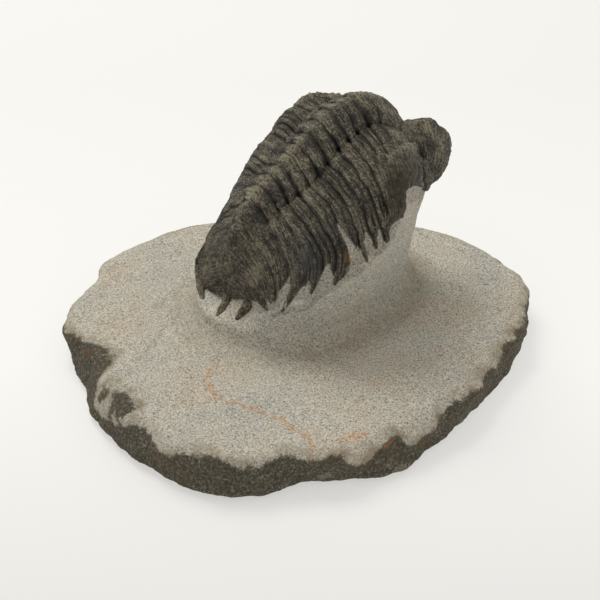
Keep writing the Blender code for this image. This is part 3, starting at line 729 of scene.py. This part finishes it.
def makeReliefTree():
    tree = newGeometryTree("segment_relief", relief)
    entry = addNode(tree, "NodeGroupInput")
    known = {name: entry.outputs[name] for name in relief}
    for name in ("station", "across", "shellDepth", "ringZone", "ribZone", "pitZone", "cheekZone", "eyeZone",
                 "headZone", "ridgeZone", "neckZone", "keelZone", "bend"):
        known[name] = addNode(tree, "GeometryNodeInputNamedAttribute", {"Name": name}, data_type="FLOAT")
    place = addNode(tree, "GeometryNodeInputPosition")
    # name, size across, detail and roughness of each noise
    for name, size, detail, rough in (("wander", 9.0, 2.0, 0.5), ("wanderFine", 2.6, 2.0, 0.5),
                                      ("lump", 6.0, 3.0, 0.5), ("grain", 1.3, 3.0, 0.6),
                                      ("crumb", 0.9, 2.0, 0.6)):
        known[name] = addNode(tree, "ShaderNodeTexNoise", {
            "Vector": place, "W": known["Seed"], "Scale": grainScale(size), "Detail": detail,
            "Roughness": rough}, noise_dimensions="4D")
    along = addNode(tree, "ShaderNodeCombineXYZ", {"X": known["station"], "Y": known["across"]})
    # streaks to a segment, and over a half section
    streaked = addNode(tree, "ShaderNodeVectorMath", {0: along, 1: (7.0, 4.0, 1.0)}, operation="MULTIPLY")
    known["stria"] = addNode(tree, "ShaderNodeTexNoise", {
        "Vector": streaked, "Scale": 1.0, "Detail": 3.0, "Roughness": 0.6})
    known["tubercle"] = addNode(tree, "ShaderNodeTexVoronoi", {"Vector": place, "Scale": grainScale(1.7)},
                                feature="SMOOTH_F1")
    addSteps(tree, known, (
        ("bent", "MULTIPLY_ADD", "wander", 0.7, "station"),
        ("bentFine", "MULTIPLY_ADD", "wanderFine", 0.22, "bent"),
        ("bentBack", "SUBTRACT", "bentFine", "bend"),
        ("shifted", "SUBTRACT", "bentBack", 0.46),
        ("ringGap", "PINGPONG", "shifted", 0.5),
        ("nearest", "ROUND", "shifted"),
        ("ringTop", "SMOOTHSTEP", "ringGap", 0.0, "Ring Furrow")))
    # each ring is worn its own amount
    known["chance"] = addNode(tree, "ShaderNodeTexWhiteNoise", {"W": known["nearest"]}, noise_dimensions="1D")
    addSteps(tree, known, (
        ("ringChance", "MULTIPLY_ADD", "chance", 0.75, -0.05),
        ("ringDip", "SUBTRACT", "ringTop", 1.0),
        ("ringPart", "SMOOTHSTEP", "lump", 0.42, 0.58),
        ("ringDeep", "MULTIPLY_ADD", "ringPart", 0.6, "ringChance"),
        ("ringWorn", "MULTIPLY", "ringDip", "ringDeep"),
        ("ringA", "MULTIPLY", "ringWorn", "Ring Height"),
        ("saw", "FRACT", "shifted"),
        ("sawDown", "MULTIPLY_ADD", "saw", -1.0, 0.5),
        ("ringB", "MULTIPLY_ADD", "sawDown", "Ring Tilt", "ringA"),
        ("ring", "MULTIPLY", "ringB", "ringZone"),
        ("fineGap", "PINGPONG", "shifted", 0.25),
        ("fineTop", "SMOOTHSTEP", "fineGap", 0.0, "Rib Furrow"),
        ("ribDipA", "MULTIPLY_ADD", "fineTop", 0.55, -1.0),
        ("ribDipB", "MULTIPLY_ADD", "ringTop", 0.45, "ribDipA"),
        ("ribDeep", "MULTIPLY_ADD", "ringDeep", 0.9, 0.15),
        ("ribWorn", "MULTIPLY", "ribDipB", "ribDeep"),
        ("ribA", "MULTIPLY", "ribWorn", "Rib Height"),
        ("ribB", "MULTIPLY_ADD", "sawDown", 0.55, "ribA"),
        ("rib", "MULTIPLY", "ribB", "ribZone"),
        ("pitTop", "SMOOTHSTEP", "ringGap", 0.02, 0.16),
        ("pitDip", "SUBTRACT", "pitTop", 1.0),
        ("pitWorn", "MULTIPLY", "pitDip", "ringDeep"),
        ("pitA", "MULTIPLY", "pitWorn", "Pit Depth"),
        ("pit", "MULTIPLY", "pitA", "pitZone"),
        ("cheek", "MULTIPLY", "cheekZone", "Cheek Height"),
        ("eye", "MULTIPLY", "eyeZone", "Eye Height"),
        ("striaA", "MULTIPLY_ADD", "stria", 2.0, -1.0),
        ("striaB", "MULTIPLY", "striaA", "Stria Height"),
        ("grainA", "MULTIPLY_ADD", "grain", 2.0, -1.0),
        ("grainB", "MULTIPLY", "grainA", "Grain Height"),
        ("tubA", "MULTIPLY_ADD", "tubercle", -1.6, 0.8),
        ("tubB", "MULTIPLY", "tubA", "Tubercle Height"),
        ("tubC", "MULTIPLY", "tubB", "headZone"),
        ("lumpA", "MULTIPLY_ADD", "lump", 2.0, -1.0),
        ("lumpB", "MULTIPLY", "lumpA", "Lump Height"),
        ("onShell", "SMOOTHSTEP", "shellDepth", -0.5, 0.6),
        ("sumA", "ADD", "ring", "rib"),
        ("sumB", "ADD", "sumA", "pit"),
        ("sumC", "ADD", "sumB", "striaB"),
        ("sumD", "ADD", "sumC", "grainB"),
        ("fineSum", "ADD", "sumD", "tubC"),
        ("stepA", "ADD", "fineSum", "Shell Step"),
        ("shellSum", "MULTIPLY", "stepA", "onShell"),
        ("offShell", "SUBTRACT", 1.0, "onShell"),
        ("crumbA", "MULTIPLY_ADD", "crumb", 1.6, -0.8),
        ("crumbB", "MULTIPLY", "crumbA", "offShell"),
        ("sumE", "ADD", "shellSum", "crumbB"),
        ("sumF", "ADD", "sumE", "cheek"),
        ("sumG", "ADD", "sumF", "eye"),
        ("ridge", "MULTIPLY_ADD", "ridgeZone", "Ridge Height", "sumG"),
        ("neck", "MULTIPLY", "neckZone", "Neck Depth"),
        ("sumH", "SUBTRACT", "ridge", "neck"),
        ("keel", "MULTIPLY_ADD", "keelZone", "Keel Height", "sumH"),
        ("total", "ADD", "keel", "lumpB"),
        # hollows feed the shell's painted shade; the ridge and keel count as higher still, so the material
        # paints a highlight along them
        ("high", "ADD", "ridgeZone", "keelZone"),
        ("low", "SUBTRACT", "neck", "fineSum"),
        ("hollowA", "MULTIPLY_ADD", "high", -0.6, "low"),
        ("hollow", "MULTIPLY", "hollowA", "onShell")))
    finishTree(tree, entry, known["total"], known["hollow"])
    return tree


rock = {
    "thickness": 13.6,
    "crown": 1.2,                # the worked top rises this much towards the pedestal
    "undercut": 4.0,
    "rimRound": 2.1,             # width of the rounding at the rim
    "fillet": 5.0,               # width of the curve at the pedestal's foot
    "wallInset": 0.3,
    "wallLap": 1.0,              # the wall ends this much over the animal's edge
    "round": 540,                # points round the slab
    # places t along a section: middle of the underside, its edge, rim, foot, top of the wall, hidden top
    "places": (0.0, 1.0, 4.0, 8.0, 11.0, 12.3),
    "rows": (4, 42, 74, 46, 8),  # mesh rows between those places
    # side of the slab from the bottom up: place, share of the rim's outline, how far out, and height
    "side": ((1.5, 0.0, 0.0, 1.7), (2.3, 0.4, 0.6, 5.0), (3.1, 0.8, 0.6, 9.0), (3.7, 1.0, 0.0, 12.0)),
    # curve at the foot: place, share of the fillet, and height over the top
    "footCurve": ((8.4, 0.55, 0.8), (8.8, 0.22, 2.6), (9.2, 0.04, 5.4)),
    "footCentre": (5.0, 0.0),
    "rim": ((-180, 74.8), (-172, 69.2), (-159, 65.8), (-148, 68.4), (-134, 67.4), (-119, 68.7), (-102, 66.9),
            (-93, 62.8), (-77, 62.6), (-68, 59.6), (-57, 59.6), (-43, 60.2), (-34, 62.4), (-25, 62.6),
            (-11, 66.0), (1, 73.2), (9, 75.6), (18, 81.0), (30, 80.6), (42, 79.2), (57, 75.2), (71, 69.6),
            (90, 67.2), (108, 69.3), (122, 73.9), (138, 75.9), (151, 77.4), (157, 74.4), (170, 76.4)),
    "low": ((-180, 73.0), (-172, 71.0), (-161, 69.3), (-155, 70.6), (-145, 69.6), (-129, 70.0), (-106, 69.4),
            (-98, 66.3), (-90, 61.2), (-77, 61.5), (-63, 63.4), (-46, 60.0), (-28, 60.6), (-11, 66.5),
            (0, 70.5), (12, 77.0), (25, 78.0), (42, 75.0), (57, 71.0), (71, 66.0), (90, 63.5), (108, 65.5),
            (122, 70.0), (138, 72.5), (151, 74.5), (160, 73.0), (172, 76.0)),
    "foot": ((0, 37.0), (10, 33.5), (34, 27.7), (75, 22.8), (113, 26.0), (137, 30.0), (157, 33.6),
             (177, 37.0), (188, 37.3), (206, 36.7), (238, 28.3), (277, 25.2), (319, 30.5), (344, 36.4)),
    # how far the dark crust reaches in over the rim, by angle; less than 0 is down the side
    "crustReach": ((-180, -1.0), (-174, 2.4), (-169, 5.0), (-165, 6.2), (-161, 6.0), (-158.5, 0.0),
                   (-155, -5.5), (-145, -4.6), (-138, -2.5), (-135, 0.0), (-132, 0.8), (-129, -0.2),
                   (-127, -2.3), (-123, -2.6), (-119, 0.0), (-109, 1.2), (-105, -0.4), (-99, 0.0), (-91, 1.4),
                   (-87, -0.6), (-81, 0.0), (-78, -0.6), (-75, -5.0), (-71, -5.6), (-69, -4.2), (-65, -1.0),
                   (-60, -1.0), (-58, -4.4), (-55, -5.6), (-51, -4.2), (-47, -3.5), (-44, -0.2), (-33, 0.5),
                   (-28, -0.4), (-22, 0.6), (-16, -1.0), (-10, 1.0), (3, 0.6), (20, -1.5), (40, 0.0),
                   (60, -3.0), (80, 0.5), (100, -1.0), (125, 0.5), (150, -3.0), (168, -1.5)),
    # crust left standing on the worked top: x, y and radius
    "crustPatches": ((-53.0, -37.5, 3.4), (-51.5, -41.0, 3.0), (-56.0, -39.5, 1.8), (-59.5, -32.0, 2.2)),
    # rust veins on the worked top: x, y of each bend, and half width
    "veins": ((((-25.7, -19.4), (-27.0, -24.5), (-28.0, -29.1), (-26.2, -33.0), (-24.9, -36.7), (-21.5, -39.0),
                (-17.5, -39.6), (-14.6, -41.4), (-12.5, -41.8), (-9.7, -45.0), (-4.4, -46.3), (-2.6, -50.2),
                (0.9, -52.4), (3.7, -56.1), (4.3, -60.0)), 0.75),
              (((22.0, -29.3), (22.7, -29.9)), 0.7), (((14.0, -55.0), (19.0, -53.5)), 1.3),
              (((25.0, -54.6), (26.4, -53.2), (28.5, -52.6)), 0.35)),
    # grey marks on the top: ends, half width and strength
    "marks": (((-42.5, -1.2), (-47.5, -15.0), 0.9, 0.4), ((-47.5, -15.0), (-54.5, -30.0), 0.9, 0.4),
              ((-46.5, 10.0), (-44.5, 11.5), 1.6, 0.5), ((-21.5, -15.5), (-22.5, -19.0), 1.2, 0.3)),
}


def bodyEdge(angle):
    # radius and height of the animal's lower edge about the pedestal's centre
    u = np.concatenate([np.linspace(-3.45, -3.0, 10), np.linspace(-2.8, 17.9, 80)])
    loop = np.vstack([bodySurface(u, np.ones_like(u))[::-1], bodySurface(u, -np.ones_like(u))])
    x, y = loop[:, 0] - rock["footCentre"][0], loop[:, 1] - rock["footCentre"][1]
    at = np.degrees(np.arctan2(y, x)) % 360
    order = np.argsort(at)
    return (np.interp(angle % 360, at[order], np.hypot(x, y)[order], period=360),
            np.interp(angle % 360, at[order], loop[order, 2], period=360))


def bellyHeight(p):
    # height of the animal's right edge at this place along the body
    u = np.linspace(-3.0, 17.5, 60)
    edge = bodySurface(u, np.ones_like(u))
    order = np.argsort(edge[:, 0])
    return np.interp(p, edge[order, 0], edge[order, 2])


def rockRings():
    angle = np.arange(rock["round"]) * 360.0 / rock["round"]
    rad = np.radians(angle)
    signed = (angle + 180) % 360 - 180
    rim, low = readRound(signed, rock["rim"]), readRound(signed, rock["low"])
    bodyAngle = (trilobite["heading"] - angle) % 360
    turn = np.radians(bodyAngle)
    foot = readRound(bodyAngle, rock["foot"])
    edgeRadius, edgeHeight = bodyEdge(bodyAngle)
    wallRadius = edgeRadius - rock["wallInset"]
    top, crown = rock["thickness"], rock["crown"]

    def slabRing(radius, height):
        return np.stack([radius * np.cos(rad), radius * np.sin(rad), np.broadcast_to(height, rad.shape)], -1)

    def pedestalRing(radius, height, follow=0.0):
        p = rock["footCentre"][0] + radius * np.cos(turn)
        q = rock["footCentre"][1] + radius * np.sin(turn)
        return placeBody(np.stack([p, q, np.broadcast_to(height, rad.shape)], -1), follow)

    outer = slabRing(rim - rock["rimRound"], top)
    inner = pedestalRing(foot + rock["fillet"], top + crown)
    keys = [(0.0, slabRing(0.4 * low, 0.0)), (1.0, slabRing(low - rock["undercut"], 0.0))]
    keys += [(at, slabRing((1 - share) * low + share * rim + out, height))
             for at, share, out, height in rock["side"]]
    keys.append((4.0, outer))
    for share in (0.2, 0.45, 0.7, 0.9):
        ring = outer + (inner - outer) * share
        ring[:, 2] = top + crown * share**0.7
        keys.append((4 + 4 * share, ring))
    keys.append((8.0, inner))
    for at, out, up in rock["footCurve"]:
        keys.append((at, pedestalRing(foot + out * rock["fillet"], top + crown + up)))
    # up the wall from the end of that curve, then in under the animal
    curveAt, curveUp = rock["footCurve"][-1][0], rock["footCurve"][-1][2]
    wallFoot, wallTop, wallAt = top + crown + curveUp, edgeHeight + rock["wallLap"], rock["places"][4]
    for share in (0.35, 0.7, 1.0):
        radius = foot + (wallRadius - foot) * share
        height = wallFoot + (wallTop - wallFoot) * share
        keys.append((curveAt + (wallAt - curveAt) * share, pedestalRing(radius, height, share)))
    for at, share in ((11.6, 0.8), (12.3, 0.45)):
        p = rock["footCentre"][0] + wallRadius * share * np.cos(turn)
        keys.append((at, pedestalRing(wallRadius * share, bellyHeight(p) + 4.0, 1.0)))
    places = rock["places"]
    t = np.concatenate([np.linspace(a, b, n, endpoint=False)
                        for a, b, n in zip(places[:-1], places[1:], rock["rows"])] + [places[-1:]])
    knots, rows = [key[0] for key in keys], [key[1] for key in keys]
    rings = np.stack([curveThrough(np.full(len(rad), s), knots, rows) for s in t])
    rings[..., 2] = np.maximum(rings[..., 2], 0.0)
    return t, signed, rings


def makeRock():
    t, signed, rings = rockRings()
    gridT = np.repeat(t[:, None], len(signed), axis=1)      # numbers beside it are places along a section
    x, y, z = rings[..., 0], rings[..., 1], rings[..., 2]
    # how far in from the rim a point is, along the section
    run = np.concatenate([np.zeros((1, len(signed))), np.cumsum(
        np.linalg.norm(np.diff(rings, axis=0), axis=-1), axis=0)])
    inFromRim = run - run[np.searchsorted(t, 3.75)]
    crust = readRound(signed, rock["crustReach"])[None] - inFromRim
    for patchX, patchY, radius in rock["crustPatches"]:
        away = np.hypot(x - patchX, y - patchY)
        crust = np.maximum(crust, np.where(gridT > 3, radius - away, -9.0))
    # veins and marks waver
    wobble = 0.5 * np.stack([np.sin(1.3 * y + np.sin(0.9 * x)), np.sin(1.5 * x + np.sin(1.1 * y))], -1)
    wavering = rings[..., :2] + wobble
    rust = np.zeros_like(gridT)
    for bends, width in rock["veins"]:
        for start, finish in zip(bends[:-1], bends[1:]):
            away = segmentDistance(wavering, start, finish)[0]
            rust = np.maximum(rust, 1 - ramp(away, width * 0.2, width * 1.5))
    # painted shade round the pedestal's foot, partly dust, with a painted shadow of the animal strongest near 10
    # degrees
    marksAndShade = bump(gridT, 8.3, 1.5) * (0.75 + 0.25 * np.cos(np.radians(signed - 10)))[None]
    for start, finish, width, strength in rock["marks"]:
        away = segmentDistance(wavering, start, finish)[0]
        mark = strength * (1 - ramp(away, width * 0.3, width * 1.6)) * ramp(gridT, 3.7, 4.3)
        marksAndShade = np.maximum(marksAndShade, mark)
    zones = {
        "sideZone": ramp(z, 0.0, 1.6) * (1 - ramp(gridT, 3.6, 4.15)),
        "topZone": between(gridT, 3.7, 4.3, 10.2, 11.2),
        "wallZone": between(gridT, 7.6, 8.6, 10.2, 11.2),
        "crust": crust,
        "marksAndShade": marksAndShade,
        "rust": rust * between(gridT, 3.0, 3.4, 10, 11),
    }
    peakHeight = bellyHeight(rock["footCentre"][0]) + 4.5
    peak = placeBody(np.array([rock["footCentre"][0], rock["footCentre"][1], peakHeight]))
    return meshFromRings("rock_base", rings, np.zeros(3), peak, zones)


rockRelief = {
    "Chip Height": 1.6,
    "Chip Size": 7.0,
    "Side Roughness": 0.9,
    "Undulation": 0.7,
    "Tool Marks": 0.45,
    "Grain Height": 0.18,
    "Seed": 7.0,
}


def makeRockTree():
    tree = newGeometryTree("rock_relief", rockRelief)
    entry = addNode(tree, "NodeGroupInput")
    known = {name: entry.outputs[name] for name in rockRelief}
    for name in ("sideZone", "topZone", "wallZone"):
        known[name] = addNode(tree, "GeometryNodeInputNamedAttribute", {"Name": name}, data_type="FLOAT")
    place = addNode(tree, "GeometryNodeInputPosition")
    # name, size across, detail and roughness of each noise
    for name, size, detail, rough in (("wave", 24.0, 3.0, 0.5), ("mark", 3.2, 2.0, 0.6),
                                      ("grain", 1.2, 3.0, 0.7), ("coarse", 4.5, 5.0, 0.62)):
        known[name] = addNode(tree, "ShaderNodeTexNoise", {
            "Vector": place, "W": known["Seed"], "Scale": grainScale(size), "Detail": detail,
            "Roughness": rough}, noise_dimensions="4D")
    addSteps(tree, known, (("chipScale", "DIVIDE", grainScale(1.0), "Chip Size"),))
    known["chip"] = addNode(tree, "ShaderNodeTexVoronoi", {
        "Vector": place, "W": known["Seed"], "Scale": known["chipScale"]}, voronoi_dimensions="4D")
    addSteps(tree, known, (
        ("chipA", "SUBTRACT", 0.45, "chip"),
        ("chipB", "MULTIPLY", "chipA", "Chip Height"),
        ("coarseA", "MULTIPLY_ADD", "coarse", 2.0, -1.0),
        ("coarseB", "MULTIPLY_ADD", "coarseA", "Side Roughness", "chipB"),
        ("side", "MULTIPLY", "coarseB", "sideZone"),
        ("waveA", "MULTIPLY_ADD", "wave", 2.0, -1.0),
        ("waveB", "MULTIPLY", "waveA", "Undulation"),
        ("markA", "MULTIPLY_ADD", "mark", 2.0, -1.0),
        ("markB", "MULTIPLY_ADD", "markA", "Tool Marks", "waveB"),
        ("grainA", "MULTIPLY_ADD", "grain", 2.0, -1.0),
        ("grainB", "MULTIPLY_ADD", "grainA", "Grain Height", "markB"),
        ("top", "MULTIPLY", "grainB", "topZone"),
        ("wall", "MULTIPLY", "coarseA", "wallZone"),
        ("wallA", "MULTIPLY_ADD", "wall", 0.6, "top"),
        ("total", "ADD", "side", "wallA"),
        ("hollow", "MULTIPLY", "total", -1.0)))
    finishTree(tree, entry, known["total"], known["hollow"])
    return tree


# free rib ends of the tail, lying on the pedestal as thin tapered spines
spines = {
    "Width": 1.0,                # multiplies the widths below
    "Roughness": 0.5,
    "Seed": 2.0,
    # x, y, z of each bend in the slab's frame, and half width there
    "paths": (
        ((-32.0, 17.2, 26.0, 1.8), (-31.9, 14.2, 22.7, 1.6), (-31.3, 9.6, 21.3, 1.3), (-30.6, 5.0, 20.4, 0.7)),
        ((-22.0, 0.6, 25.8, 1.6), (-23.2, -1.8, 23.5, 1.5), (-24.4, -3.1, 21.8, 1.3), (-25.4, -4.6, 20.4, 0.8)),
        ((-15.0, -6.4, 28.8, 1.7), (-16.2, -6.8, 26.0, 1.6), (-17.7, -6.9, 23.7, 1.3),
         (-19.2, -7.4, 21.6, 0.8)),
        ((-11.8, -9.8, 32.4, 1.5), (-10.5, -11.4, 30.4, 1.1), (-9.4, -12.8, 29.2, 0.4)),
    ),
}


def makeSpineCurve():
    data = bpy.data.curves.new("spine_paths", "CURVE")
    data.dimensions = "3D"
    for path in spines["paths"]:
        spline = data.splines.new("POLY")
        spline.points.add(len(path) - 1)
        for point, (x, y, z, width) in zip(spline.points, path):
            point.co = (x * mm, y * mm, z * mm, 1.0)
            point.radius = width * mm
    return data


def makeSpineTree():
    sizes = {key: value for key, value in spines.items() if key != "paths"}
    tree = newGeometryTree("tapered_spines", sizes)
    entry = addNode(tree, "NodeGroupInput")
    smooth = addNode(tree, "GeometryNodeCurveSplineType", {"Curve": entry.outputs["Geometry"]},
                     spline_type="CATMULL_ROM")
    even = addNode(tree, "GeometryNodeResampleCurve", {"Curve": smooth, "Count": 36})
    girth = addNode(tree, "ShaderNodeMath", {0: addNode(tree, "GeometryNodeInputRadius"),
                                             1: entry.outputs["Width"]}, operation="MULTIPLY")
    profile = addNode(tree, "GeometryNodeCurvePrimitiveCircle", {"Resolution": 16, "Radius": 1.0})
    tube = addNode(tree, "GeometryNodeCurveToMesh", {"Curve": even, "Profile Curve": profile, "Scale": girth,
                                                     "Fill Caps": True})
    noise = addNode(tree, "ShaderNodeTexNoise", {"Vector": addNode(tree, "GeometryNodeInputPosition"),
                                                 "W": entry.outputs["Seed"], "Scale": grainScale(1.2)},
                    noise_dimensions="4D")
    known = addSteps(tree, {"noise": noise, "Roughness": entry.outputs["Roughness"]}, (
        ("even", "MULTIPLY_ADD", "noise", 2.0, -1.0),
        ("total", "MULTIPLY", "even", "Roughness"),
        # the dips of the roughness go to the material as hollows, which it paints darker and its tops paler:
        # painted shade and highlight
        ("spineShade", "MULTIPLY_ADD", "even", -1.0, -0.1)))
    # shell all over, which the material reads
    shelled = addNode(tree, "GeometryNodeStoreNamedAttribute",
                      {"Geometry": tube, "Name": "shellDepth", "Value": 3.0})
    smoothed = addNode(tree, "GeometryNodeSetShadeSmooth", {"Geometry": shelled})
    finishTree(tree, entry, known["total"], known["spineShade"], smoothed)
    return tree


matrixPiece = shapeByNodes("matrix_slab", makeRock(), makeRockTree(), rockRelief, makeRockMaterial())
shellMaterial = makeShellMaterial()
shellPiece = shapeByNodes("trilobite_shell", makeTrilobite(), makeReliefTree(), relief, shellMaterial)
spinePiece = shapeByNodes("tail_spines", makeSpineCurve(), makeSpineTree(), spines, shellMaterial)
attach(spinePiece, "root")

for piece, node, finish in ((matrixPiece, "matrix_rock", "matrix"), (shellPiece, "trilobite", "fossil")):
    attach(piece, "root")
    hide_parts(node)
